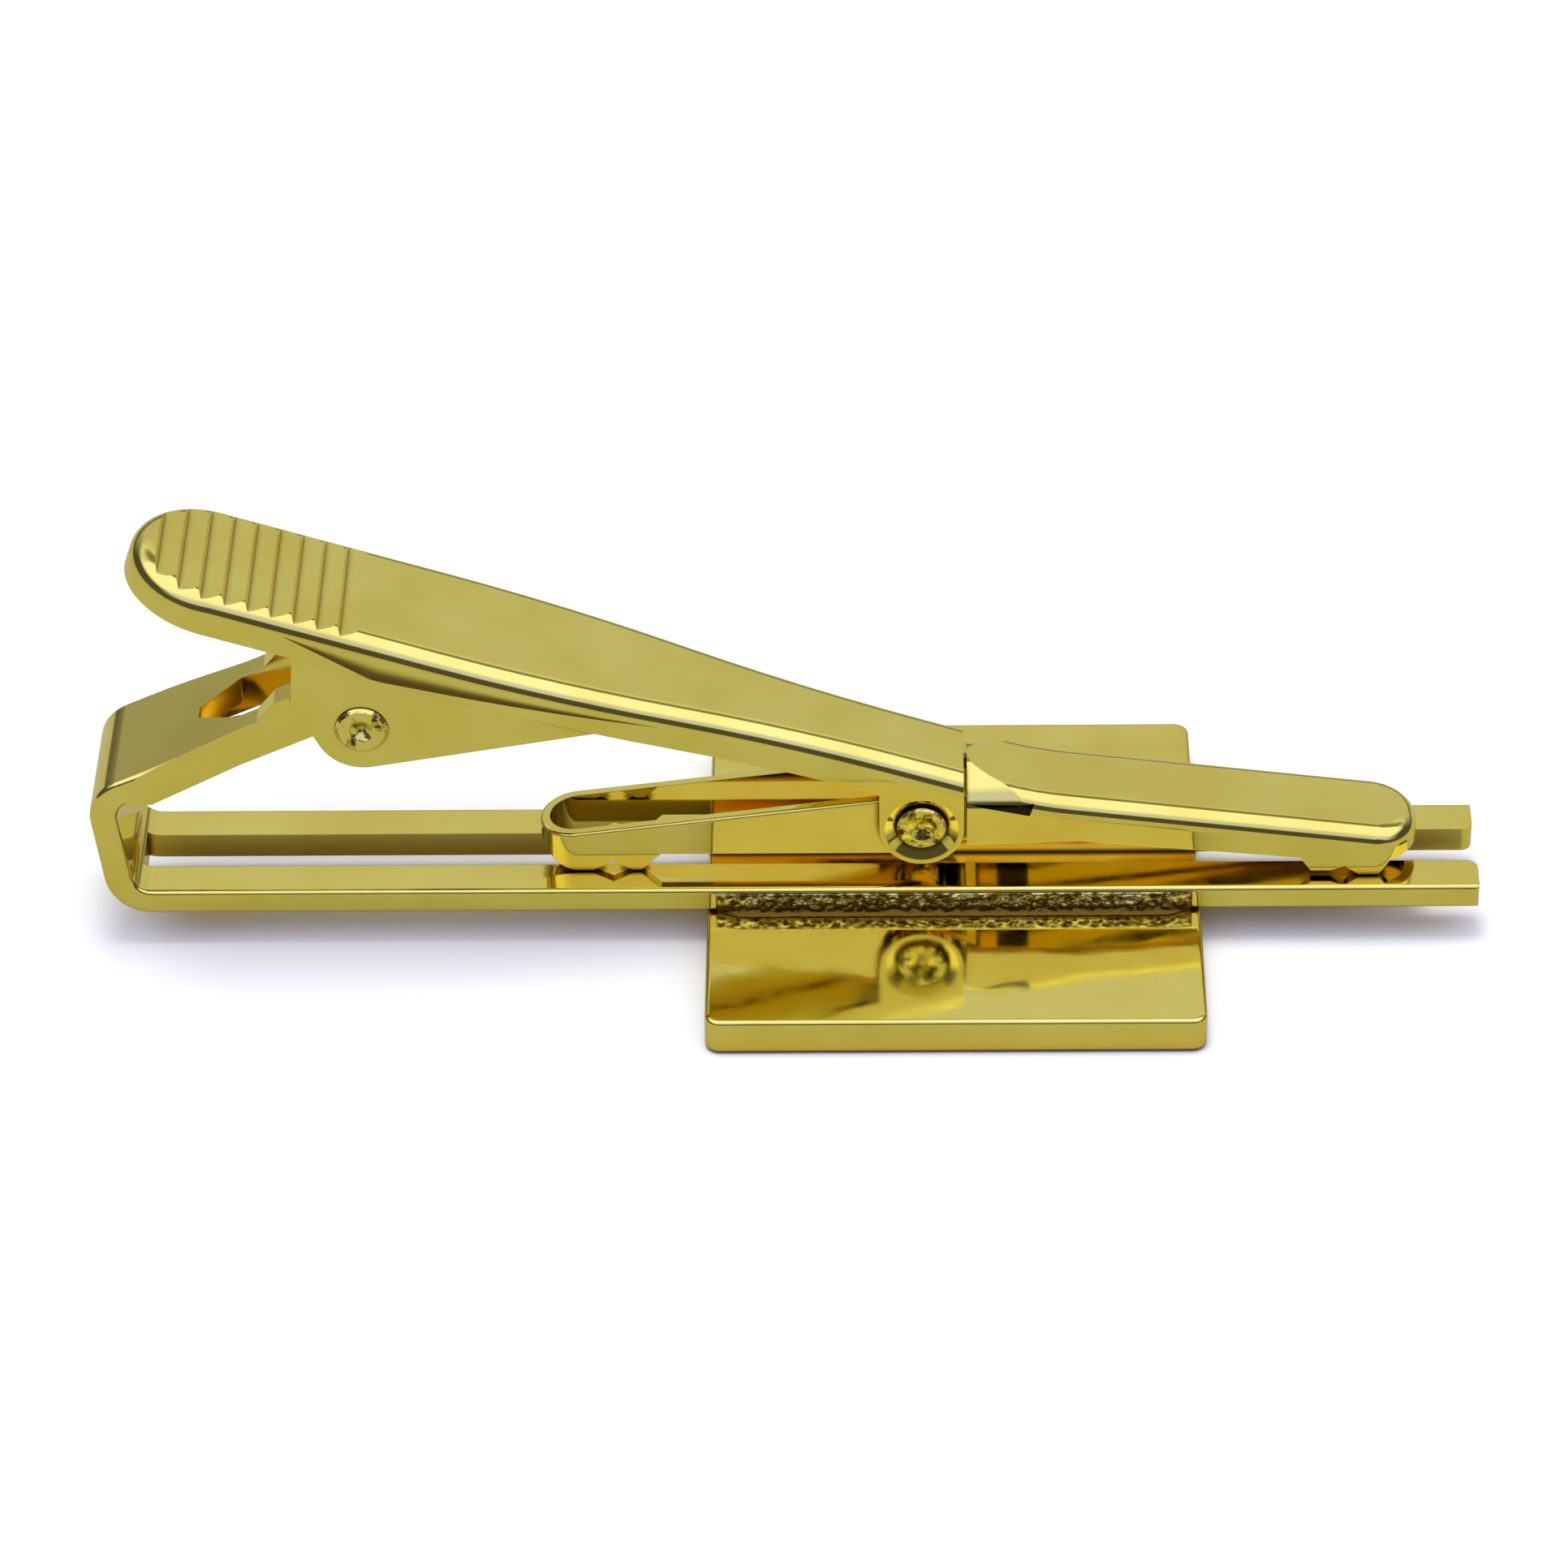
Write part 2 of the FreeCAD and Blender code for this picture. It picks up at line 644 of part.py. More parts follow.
def build_lever():
    body = new_body("lever")
    side = new_sketch(body, "lever_side", "XZ_Plane")
    low = "lever_top - lever_depth"
    add_loop(side, [
        ("-lever_tip - overcut", "lever_top"),
        ("-lever_tip - overcut", low),
        (lobe_side_at(low, "-lobe_radius"), low),
        lobe_point("-lobe_radius", "0"),
        lobe_point("lobe_radius", "0"),
        (lobe_side_at("lever_top", "lobe_radius"), "lever_top"),
    ])
    feature(body, "Pad", "lever_block", side, "lever_wide + 2 * overcut")
    lobe = new_sketch(body, "lobe_side", "XZ_Plane")
    add_circle(lobe, "lever_reach", "lever_rise", "lobe_radius")
    feature(body, "Pad", "lobes", lobe, "lever_wide + 2 * overcut")
    past_end = "lever_reach + 4 * lobe_radius"
    around = rectangle("-lever_tip - 2 * overcut", past_end, "-lever_wide", "lever_wide")
    outer = trim_to_plan(body, "lever_trim", lever_plan("0"), around)
    top = number("lever_top")
    end_top = number(lobe_side_at("lever_top", "lobe_radius"))
    round_edges(body, "lever_edges", outer, "lever_edge",
                lambda edge: is_flat_at(edge, top) and edge.BoundBox.XMin < end_top - TOUCH)

    # Hollow underneath, open at the jaw end
    hollow = new_sketch(body, "lever_hollow_plan", "XY_Plane", "lever_underside")
    add_loop(hollow, lever_plan("lever_wall"))
    feature(body, "Pocket", "lever_hollow", hollow, symmetric=False)

    # Ears set in by the lip, one on each side of the arm. They run out under it where the lever narrows.
    ear = new_sketch(body, "ear_side", "XZ_Plane")
    add_loop(ear, [
        ("-ear_back", "lever_underside"),
        ("-ear_back", low),
        ("-ear_heel", "ear_heel_height"),
        tangent_on_ear("-ear_heel", "ear_heel_height", "+"),
        ("0", "0"),
        tangent_on_ear("ear_front", "(lever_top - lever_depth)", "-"),
        ("ear_front", low),
        ("taper_start", "lever_underside"),
    ])
    feature(body, "Pad", "ears", ear, "ear_outside")
    ear_round = new_sketch(body, "ear_round_side", "XZ_Plane")
    add_circle(ear_round, "0", "0", "ear_radius")
    feature(body, "Pad", "ear_rounds", ear_round, "ear_outside")
    gap = new_sketch(body, "ear_gap_side", "XZ_Plane")
    below = "-2 * ear_radius"
    add_loop(gap, rectangle("-ear_back - overcut", "ear_front + overcut", below, "lever_underside"))
    feature(body, "Pocket", "ear_gap_cut", gap, "ear_gap")

    # Holes for the two pins, the jaw pin's in a dish
    holes = new_sketch(body, "pin_holes_side", "XZ_Plane")
    add_circle(holes, "0", "0", "hinge_pin_diameter / 2")
    add_circle(holes, "lever_reach", "lever_rise", "jaw_pin_diameter / 2")
    feature(body, "Pocket", "pin_holes", holes, "2 * lever_wide")
    dish = new_sketch(body, "dish_profile", "XY_Plane", "lever_rise")
    for sign in ("", "-"):
        add_loop(dish, [
            ("lever_reach", sign + "(lever_narrow / 2 + overcut)"),
            ("lever_reach", sign + "(lever_narrow / 2 - jaw_dish_depth)"),
            ("lever_reach + jaw_pin_diameter / 2", sign + "(lever_narrow / 2 - jaw_dish_depth)"),
            ("lever_reach + jaw_dish_radius", sign + "lever_narrow / 2"),
            ("lever_reach + jaw_dish_radius", sign + "(lever_narrow / 2 + overcut)"),
        ])
    axis_end = FreeCAD.Vector(number("lever_reach"), 1, 0)
    axis = dish.addGeometry(Part.LineSegment(FreeCAD.Vector(axis_end.x, -1, 0), axis_end), True)
    pin_point(dish, axis, 1, "lever_reach", "-1")
    pin_point(dish, axis, 2, "lever_reach", "1")
    dishes = body.newObject("PartDesign::Groove", "dishes")
    dishes.Profile = dish
    dishes.ReferenceAxis = (dish, ["Axis0"])
    dishes.Angle = 360
    doc.recompute()

    # Saw-tooth ribs across the thumb end
    rib = new_sketch(body, "rib_side", "XZ_Plane")
    first, crest = "rib_inset - lever_tip", "rib_inset - lever_tip + rib_pitch - rib_crest"
    add_loop(rib, [
        (first, "lever_top"),
        (first + " + rib_steep", "lever_top - rib_depth"),
        (crest, "lever_top"),
        (crest, "lever_top + overcut"),
        (first, "lever_top + overcut"),
    ])
    groove = feature(body, "Pocket", "rib_groove", rib, "lever_wide + 2 * overcut")
    ribs = body.newObject("PartDesign::LinearPattern", "ribs")
    ribs.Originals = [groove]
    ribs.Direction = (rib, ["H_Axis"])
    bind(ribs, Length="rib_pitch * (rib_count - 1)", Occurrences="rib_count")
    body.Tip = ribs
    doc.recompute()
    place(body, "hinge_x", "hinge_z", "lever_slope")
    return body


# Rocking jaw, drawn level with the jaw pin at its origin


def build_jaw_pin():
    """A pin set into the lever's lobes. Each end is bevelled and has a punch mark."""
    body = new_body("jaw_pin")
    shank = "jaw_pin_diameter / 2"
    punch, tip = "jaw_punch_diameter / 2", "jaw_punch_tip / 2"
    edge = "(lever_narrow / 2 - jaw_pin_set_in)"
    face = "(lever_narrow / 2 - jaw_pin_set_in + jaw_pin_bevel)"
    floor = "(lever_narrow / 2 - jaw_pin_set_in + jaw_pin_bevel - jaw_punch_depth)"
    half = [
        (shank, edge),
        (shank + " - jaw_pin_bevel", face),
        (punch, face),
        (tip, floor),
        ("0", floor),
    ]
    turned(body, "jaw_pin_turned", both_ends(half))
    place(body, "jaw_x", "jaw_z")
    return body


def cap_plan(inset, start):
    """The cap's plan, or the plan of its hollow when set in by the wall."""
    half = "(lever_narrow / 2 - %s)" % inset
    nose = "(cap_nose - %s)" % inset
    reach = "(cap_reach - %s)" % inset
    bend = "cap_reach - cap_nose"
    flat = "(lever_narrow / 2 - cap_nose)"
    return [
        (start, "-" + half),
        (bend, "-" + half, nose, "left"),
        (reach, "-" + flat),
        (reach, flat, nose, "left"),
        (bend, half),
        (start, half),
    ]


def build_cap():
    """The closed half of the jaw: a block cut to its side and plan, then hollowed."""
    outer = new_body("cap_outside")
    side = new_sketch(outer, "cap_side", "XZ_Plane")
    outer_tooth = "(cap_reach - tooth_inset)"
    inner_tooth = "(cap_reach - tooth_inset - tooth_pitch)"
    lifted = "tooth_tip + cap_inner_lift"
    add_loop(side, [
        ("cap_start", "cap_start_top"),
        ("cap_start", "-cap_heel_depth"),
        ("cap_waist", "-cap_waist_depth"),
        (inner_tooth + " - tooth_flat / 2 - tooth_flank", "-cap_tooth_root"),
        (inner_tooth + " - tooth_flat / 2", lifted),
        (inner_tooth + " + tooth_flat / 2", lifted),
        (inner_tooth + " + tooth_pitch / 2", lifted + " + tooth_flank / 2"),
        (outer_tooth + " - tooth_flat / 2", "tooth_tip"),
        (outer_tooth + " + tooth_flat / 2", "tooth_tip"),
        (outer_tooth + " + tooth_flat / 2 + tooth_flank", "-cap_tooth_root - tooth_flank / 2"),
        ("cap_reach + overcut", "-cap_tooth_root"),
        ("cap_reach + overcut", "cap_nose_top - overcut * tan(cap_slope)"),
        ("cap_kink + cap_bend_run * cos(cap_slope)", "cap_kink_top - cap_bend_run * sin(cap_slope)",
         "cap_bend_radius", "right"),
        ("cap_kink - cap_bend_run * cos(lever_slope)", "cap_kink_top + cap_bend_run * sin(lever_slope)"),
    ])
    feature(outer, "Pad", "cap_block", side, "lever_narrow + 2 * overcut")
    left, right = "cap_start - 2 * overcut", "cap_reach + 2 * overcut"
    around = rectangle(left, right, "-lever_narrow", "lever_narrow")
    trimmed = trim_to_plan(outer, "cap_trim", cap_plan("0", "cap_start - overcut"), around)

    def on_top(edge):
        box = edge.BoundBox
        middle = edge.valueAt(sum(edge.ParameterRange) / 2)
        share = (middle.x - number("cap_start")) / number("cap_reach - cap_start")
        above = middle.z > -share * number("(cap_tooth_root - cap_nose_top) / 2")
        across = box.XLength < TOUCH and middle.x < number("cap_reach") - TOUCH
        upright = box.XLength < TOUCH and box.YLength < TOUCH
        return above and not across and not upright

    round_edges(outer, "cap_edges", trimmed, "cap_edge", on_top)

    # Crowned shoulder at the lever. It runs out level as the top falls away from it.
    shoulder = new_sketch(outer, "cap_shoulder_section", "YZ_Plane")
    half, beyond = "lever_narrow / 2", "(lever_narrow / 2 + overcut)"
    foot, above = "cap_start_top - cap_shoulder", "cap_start_top + overcut"
    add_loop(shoulder, [
        (half, foot, "cap_crown", "left"),
        ("-" + half, foot),
        ("-" + beyond, foot),
        ("-" + beyond, above),
        (beyond, above),
        (beyond, foot),
    ])
    feature(outer, "Pocket", "cap_shoulder_cut", shoulder)

    inner = new_body("cap_inside")
    hollow = new_sketch(inner, "cap_hollow_side", "XZ_Plane")
    add_loop(hollow, [
        ("cap_start + jaw_wall", "cap_kink_top - cap_web"),
        ("cap_start + jaw_wall", "-2 * jaw_height"),
        ("cap_reach + overcut", "-2 * jaw_height"),
        ("cap_reach + overcut", "cap_nose_top - overcut * tan(cap_slope) - cap_web"),
        ("cap_kink", "cap_kink_top - cap_web"),
    ])
    feature(inner, "Pad", "cap_hollow_block", hollow, "lever_narrow")
    trim_to_plan(inner, "cap_hollow_trim", cap_plan("jaw_wall", "cap_start - overcut"), around)
    return outer, inner


def trough_plan(inset, end):
    half = "(trough_width / 2 - %s)" % inset
    return [
        ("%s - trough_reach" % inset, "0", half, "left"),
        ("trough_width / 2 - trough_reach", "-" + half),
        (end, "-" + half),
        (end, half),
        ("trough_width / 2 - trough_reach", half, half, "left"),
    ]


def build_trough():
    """The open half of the jaw: a wall round a slot, with the jaw pin's hole through it."""
    body = new_body("trough")
    side = new_sketch(body, "trough_side", "XZ_Plane")
    end = "cap_start + jaw_wall"
    outer_tooth = "(tooth_inset - trough_reach)"
    inner_tooth = "(tooth_inset + tooth_pitch - trough_reach)"
    nose = "(-trough_reach - overcut)"
    add_loop(side, [
        (nose, "trough_rim + (%s) * tan(trough_slope)" % nose),
        (nose, "-trough_nose_depth"),
        ("-trough_reach", "-trough_nose_depth", "trough_nose_curve", "left"),
        (outer_tooth + " - trough_point", "tooth_tip"),
        (outer_tooth + " + trough_point / 2", "tooth_tip"),
        ("(%s + %s) / 2" % (outer_tooth, inner_tooth), "tooth_tip + tooth_flank"),
        (inner_tooth + " - trough_point / 2", "tooth_tip"),
        (inner_tooth + " + trough_point / 2", "tooth_tip"),
        (inner_tooth + " + tooth_pitch / 2", "-trough_depth"),
        ("0", "-trough_depth"),
        (end, "-cap_heel_depth"),
        (end, "trough_rim"),
        ("0", "trough_rim"),
    ])
    feature(body, "Pad", "trough_block", side, "trough_width + 2 * overcut")
    around = rectangle("-trough_reach - 2 * overcut", "cap_reach", "-lever_narrow", "lever_narrow")
    trimmed = trim_to_plan(body, "trough_trim", trough_plan("0", end + " + overcut"), around)

    def on_rim(edge):
        middle = edge.valueAt((edge.FirstParameter + edge.LastParameter) / 2)
        fall = min(middle.x, 0) * math.tan(math.radians(number("trough_slope")))
        level = number("trough_rim") + fall
        return abs(middle.z - level) < TOUCH and edge.BoundBox.XLength > TOUCH

    round_edges(body, "trough_rim_edges", trimmed, "trough_rim_edge", on_rim)
    hollow = new_sketch(body, "trough_hollow_plan", "XY_Plane")
    add_loop(hollow, trough_plan("jaw_wall", "cap_start"))
    feature(body, "Pocket", "trough_hollow", hollow)
    hole = new_sketch(body, "jaw_hole_side", "XZ_Plane")
    add_circle(hole, "0", "0", "jaw_pin_diameter / 2 + jaw_clearance")
    feature(body, "Pocket", "jaw_hole", hole, "2 * lever_narrow")
    return body


def build_rocker_jaw():
    outer, inner = build_cap()
    cap = doc.addObject("Part::Cut", "cap")
    cap.Base = outer
    cap.Tool = inner
    jaw = doc.addObject("Part::Fuse", "rocker_jaw")
    jaw.Base = cap
    jaw.Tool = build_trough()
    doc.recompute()
    place(jaw, "jaw_x", "jaw_z")
    return jaw


pieces = {
    "clip_frame": build_clip_frame(),
    "front_plate": build_front_plate(),
    "solder_seam_front": build_seam("solder_seam_front", "-"),
    "solder_seam_rear": build_seam("solder_seam_rear", ""),
    "hinge_pin": build_hinge_pin(),
    "leaf_spring": build_leaf_spring(),
    "lever": build_lever(),
    "jaw_pin": build_jaw_pin(),
    "rocker_jaw": build_rocker_jaw(),
}
doc.recompute()

# Every object has to be sound before anything is written
for item in doc.Objects:
    if "Invalid" in item.State or "Error" in item.State:
        raise RuntimeError("%s did not compute: %s" % (item.Name, item.State))
os.makedirs("parts", exist_ok=True)
for name, piece in pieces.items():
    piece.Label = name
    if piece.Shape.isNull() or not piece.Shape.isValid() or len(piece.Shape.Solids) != 1:
        raise RuntimeError("%s is not one sound solid" % name)
    piece.Shape.exportStep("parts/%s.step" % name)
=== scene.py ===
"""Tie clip: gold plating, solder, spring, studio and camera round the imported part. Metres."""

import json
from math import cos, pi, radians, sin

import bmesh
import bpy
from mathutils import Matrix, Vector, noise


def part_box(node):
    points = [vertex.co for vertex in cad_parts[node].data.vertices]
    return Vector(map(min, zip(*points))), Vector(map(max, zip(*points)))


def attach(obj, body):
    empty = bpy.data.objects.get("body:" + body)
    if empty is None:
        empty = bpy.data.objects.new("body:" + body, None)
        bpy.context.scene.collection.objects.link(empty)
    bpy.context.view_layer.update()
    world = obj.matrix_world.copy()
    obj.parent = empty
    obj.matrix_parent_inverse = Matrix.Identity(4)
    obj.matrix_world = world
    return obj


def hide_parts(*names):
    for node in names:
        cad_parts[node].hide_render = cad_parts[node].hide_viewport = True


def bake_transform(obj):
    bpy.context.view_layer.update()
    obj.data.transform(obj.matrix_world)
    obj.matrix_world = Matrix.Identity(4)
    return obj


MM = 0.001

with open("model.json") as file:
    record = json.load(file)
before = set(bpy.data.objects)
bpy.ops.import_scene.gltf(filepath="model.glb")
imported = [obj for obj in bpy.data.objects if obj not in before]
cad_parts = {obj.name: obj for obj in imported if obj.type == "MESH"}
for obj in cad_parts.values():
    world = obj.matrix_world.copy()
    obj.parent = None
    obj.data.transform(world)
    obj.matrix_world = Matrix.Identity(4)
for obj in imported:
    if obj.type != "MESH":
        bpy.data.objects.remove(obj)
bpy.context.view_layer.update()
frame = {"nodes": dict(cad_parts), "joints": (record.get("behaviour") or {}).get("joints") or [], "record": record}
nodes = frame["nodes"]
joint_places = {joint["name"]: Vector(joint["pos_m"]) for joint in frame["joints"]}
scene = bpy.context.scene

HINGE = joint_places["lever_hinge"]
JAW_PIN = joint_places["jaw_rock"]
LEVER_SLOPE = radians(18.64)


def put_in_scene(name, data):
    """A new object of the scene, made from a mesh, a light or a camera."""
    made = bpy.data.objects.new(name, data)
    scene.collection.objects.link(made)
    return made


# Shader helpers


def set_input(tree, socket, value):
    """Sets an input to a value, or links the output of another node to it."""
    if isinstance(value, bpy.types.NodeSocket):
        tree.links.new(value, socket)
    else:
        socket.default_value = value


def add_node(tree, kind, settings=None, **inputs):
    """A shader node. Its inputs are values or the outputs of other nodes."""
    node = tree.nodes.new("ShaderNode" + kind)
    for name, value in (settings or {}).items():
        setattr(node, name, value)
    for name, value in inputs.items():
        set_input(tree, node.inputs[name.replace("_", " ")], value)
    return node


def math_node(tree, operation, *values):
    """The result of one step of arithmetic on values or the outputs of other nodes."""
    node = add_node(tree, "Math", {"operation": operation})
    for socket, value in zip(node.inputs, values):
        set_input(tree, socket, value)
    return node.outputs["Value"]


def new_material(name):
    """An empty material and its node tree."""
    material = bpy.data.materials.new(name)
    material.use_nodes = True
    material.node_tree.nodes.clear()
    return material, material.node_tree


def noise_value(tree, place, per_metre, detail, axis_scale=(1, 1, 1)):
    """Noise with that many features to the metre, times the scale of each axis."""
    scaled = add_node(tree, "Mapping", Vector=place, Scale=axis_scale)
    made = add_node(tree, "TexNoise", Vector=scaled.outputs["Vector"], Scale=per_metre, Detail=detail)
    return made.outputs["Fac"]


def spread_range(tree, value, low, high, start=0.3, finish=0.7):
    """Runs smoothly from low to high as the value goes from start to finish."""
    made = add_node(tree, "MapRange", {"interpolation_type": "SMOOTHSTEP"}, Value=value, From_Min=start,
                    From_Max=finish, To_Min=low, To_Max=high)
    return made.outputs["Result"]


def colour_ramp(tree, value, stops):
    """Runs through colours, each given with the value where it stands."""
    ramp = add_node(tree, "ValToRGB", Fac=value)
    elements = ramp.color_ramp.elements
    for place, _ in stops[1:-1]:
        elements.new(place)
    for element, (place, colour) in zip(elements, stops):
        element.position = place
        element.color = colour
    return ramp.outputs["Color"]


def mix_colours(tree, share, first, second):
    """Runs from the first colour to the second as the share goes from 0 to 1."""
    return add_node(tree, "MixRGB", Fac=share, Color1=first, Color2=second).outputs["Color"]


def bumped(tree, height, distance, normal=None, invert=False):
    """The direction of a surface with bumps on it, or with hollows where it is inverted."""
    bump = add_node(tree, "Bump", {"invert": invert}, Height=height, Distance=distance, Strength=1.0)
    if normal is not None:
        tree.links.new(normal, bump.inputs["Normal"])
    return bump.outputs["Normal"]


def metal_surface(tree, colour, roughness, normal):
    """Ends a material as bare metal."""
    shader = add_node(tree, "BsdfPrincipled", Base_Color=colour, Metallic=1.0, Roughness=roughness,
                      Normal=normal)
    add_node(tree, "OutputMaterial", Surface=shader.outputs["BSDF"])


# Folds with painted shade under the lever's lip and the cap's shoulder

# Painted shade, for tight corners and for the fold under the lever's lip
PAINTED_SHADE = (0.22, 0.15, 0.01, 1)
SHOULDER_SHADE = (0.03, 0.024, 0.002, 1)
FOLD_LEAST = 0.02 * MM
FOLD_ROUND = 0.15 * MM

# Each fold lies in the frame of its piece, from the pin and along the slope. Its lower line hangs by the
# depth under the top at the lowest place, and rises ahead of that place and behind it. The curl is how far
# in the side goes for its depth, and the shade is where in the fold the painted shade starts and where it is full.
LEVER_LIP = {
    "origin": HINGE,
    "slope": LEVER_SLOPE,
    "top": 3.68 * MM,
    "depth": 0.96 * MM,
    "lowest": -0.3 * MM,
    "rise_ahead": 0.082,
    "rise_behind": 0.24,
    "curl": 0.32,
    "shade": (0.15, 0.70),
    "dark": PAINTED_SHADE,
}
# Painted shade only, without a curl
CAP_SHOULDER = {
    "origin": JAW_PIN,
    "slope": 0,
    "top": 1.22 * MM,
    "depth": 0.54 * MM,
    "lowest": 4.35 * MM,
    "rise_ahead": 3.0,
    "rise_behind": 0.22,
    "curl": 0,
    "shade": (0.0, 0.12),
    "dark": SHOULDER_SHADE,
}


def fold_under(tree, place, fold):
    """How deep a side curls in under a lip, and how much painted shade it gets there."""
    seat = add_node(tree, "Mapping", {"vector_type": "TEXTURE"}, Vector=place, Location=fold["origin"],
                    Rotation=(0, fold["slope"], 0))
    axes = add_node(tree, "SeparateXYZ", Vector=seat.outputs["Vector"]).outputs
    along = math_node(tree, "SUBTRACT", axes["X"], fold["lowest"])
    ahead = math_node(tree, "MULTIPLY", along, fold["rise_ahead"])
    behind = math_node(tree, "MULTIPLY", along, -fold["rise_behind"])
    rise = math_node(tree, "SMOOTH_MAX", ahead, behind, FOLD_ROUND)
    hang = math_node(tree, "SUBTRACT", fold["depth"], rise)
    band = math_node(tree, "MAXIMUM", hang, FOLD_LEAST)
    between_ends = math_node(tree, "GREATER_THAN", hang, FOLD_LEAST)
    below = math_node(tree, "SUBTRACT", fold["top"], axes["Z"])
    share = add_node(tree, "MapRange", Value=below, From_Min=0.0, From_Max=band).outputs["Result"]
    square = math_node(tree, "MULTIPLY", share, share)
    curl = math_node(tree, "MULTIPLY", math_node(tree, "MULTIPLY", band, fold["curl"]), between_ends)
    depth = math_node(tree, "MULTIPLY", square, curl)
    on_fold = math_node(tree, "MULTIPLY", math_node(tree, "LESS_THAN", below, band), between_ends)
    shade = math_node(tree, "MULTIPLY", spread_range(tree, share, 0, 1, *fold["shade"]), on_fold)
    return depth, shade


# Gold plating

GOLD = (0.87, 0.76, 0.205, 1)
WARM_GOLD = (0.82, 0.69, 0.155, 1)
# Painted warm light bounced between gold faces, for recesses
PAINTED_BOUNCE_GOLD = (0.92, 0.62, 0.07, 1)
BLOT_DARK = (0.09, 0.045, 0.003, 1)
CLOUD_COLOURS = [(0.35, WARM_GOLD), (0.65, GOLD)]
BLOT_EDGE = (0.50, 0.66)
EDGE_ROUND = 0.04 * MM
EDGE_SAMPLES = 6
MARK_HEIGHT = 0.0002 * MM
POLISH_SWING = 0.3

# Noises, each with its features to the metre and its levels of detail
CLOUDS = (260, 4)
POLISH = (900, 5)
RIPPLES = (240, 2)
PIN_RIPPLES = (2200, 2)
PIN_BLOTS = (1900, 5)
MARKS = (5200, 3)
# Polishing marks that run along the bar
ALONG_BAR = (0.15, 1, 1)

# Recesses get painted warm bounce light, and corners painted shade
# Recesses and corners: how near other surfaces count, and how open it is where the colour starts and ends
RECESS_REACH = 3.0 * MM
RECESS_OPEN = (0.30, 0.80)
CORNER_REACH = 0.36 * MM
CORNER_OPEN = (0.60, 0.92)
OPEN_SAMPLES = 8


def where_closed(tree, colour, closed_colour, reach, open_range):
    """Paints a colour where other surfaces close in within the reach, standing in for the light and shade there.
    """
    openness = add_node(tree, "AmbientOcclusion", {"samples": OPEN_SAMPLES}, Distance=reach).outputs["AO"]
    share = spread_range(tree, openness, 0, 1, *open_range)
    return mix_colours(tree, share, closed_colour, colour)


def gold(name, roughness, ripple_height, ripples=RIPPLES, mark_height=MARK_HEIGHT, mark_scale=(1, 1, 1),
         blots=None, fold=None):
    """Gold plating: clouds, painted warm bounce light in recesses, painted shade in corners, uneven polish,
    ripples and polishing marks.

    Dark blots, and a fold under a lip with painted shade in it, are added where they are given.
    """
    material, tree = new_material(name)
    place = add_node(tree, "TexCoord").outputs["Object"]
    colour = colour_ramp(tree, noise_value(tree, place, *CLOUDS), CLOUD_COLOURS)
    # Painted warm bounce light in recesses
    colour = where_closed(tree, colour, PAINTED_BOUNCE_GOLD, RECESS_REACH, RECESS_OPEN)
    # Painted shade in tight corners
    colour = where_closed(tree, colour, PAINTED_SHADE, CORNER_REACH, CORNER_OPEN)
    normal = add_node(tree, "Bevel", {"samples": EDGE_SAMPLES}, Radius=EDGE_ROUND).outputs["Normal"]
    if blots:
        spots = spread_range(tree, noise_value(tree, place, *blots), 0, 1, *BLOT_EDGE)
        colour = mix_colours(tree, spots, colour, BLOT_DARK)
    if fold:
        depth, shade = fold_under(tree, place, fold)
        normal = bumped(tree, depth, 1.0, normal, invert=True)
        # Painted shade in the fold
        colour = mix_colours(tree, shade, colour, fold["dark"])
    normal = bumped(tree, noise_value(tree, place, *ripples), ripple_height, normal)
    normal = bumped(tree, noise_value(tree, place, *MARKS, mark_scale), mark_height, normal)
    smoothest = (1 - POLISH_SWING) * roughness
    roughest = (1 + POLISH_SWING) * roughness
    polish = spread_range(tree, noise_value(tree, place, *POLISH), smoothest, roughest)
    metal_surface(tree, colour, polish, normal)
    return material


GOLD_FINISHES = {
    "frame_gold": {
        "roughness": 0.09,
        "ripple_height": 0.014 * MM,
        "mark_scale": ALONG_BAR,
    },
    "plate_gold": {
        "roughness": 0.09,
        "ripple_height": 0.034 * MM,
    },
    "lever_gold": {
        "roughness": 0.06,
        "ripple_height": 0.010 * MM,
        "mark_scale": ALONG_BAR,
        "fold": LEVER_LIP,
    },
    "jaw_gold": {
        "roughness": 0.05,
        "ripple_height": 0.010 * MM,
        "mark_scale": ALONG_BAR,
        "fold": CAP_SHOULDER,
    },
    "pin_gold": {
        "roughness": 0.08,
        "ripple_height": 0.090 * MM,
        "ripples": PIN_RIPPLES,
        "mark_height": 0.0010 * MM,
        "blots": PIN_BLOTS,
    },
    "spring_gold": {
        "roughness": 0.15,
        "ripple_height": 0.006 * MM,
        "mark_height": 0.0006 * MM,
        "mark_scale": ALONG_BAR,
    },
}


# Solder

# Painted shade, in the solder's pits and along its foot
SOLDER_SHADE = (0.14, 0.08, 0.008, 1)
SOLDER_GRAIN = (0.86, 0.76, 0.28, 1)
SOLDER_COLOURS = [(0.42, SOLDER_SHADE), (0.64, SOLDER_GRAIN)]
SOLDER_FOOT = (1.90 * MM, 2.10 * MM)
SOLDER_ROUGHNESS = (0.08, 0.16)
PITS = (4600, 3)
PIT_SCALE = (0.6, 1, 1)
PIT_DEPTH = 0.05 * MM
GRIT = (9000, 3)
GRIT_HEIGHT = 0.004 * MM


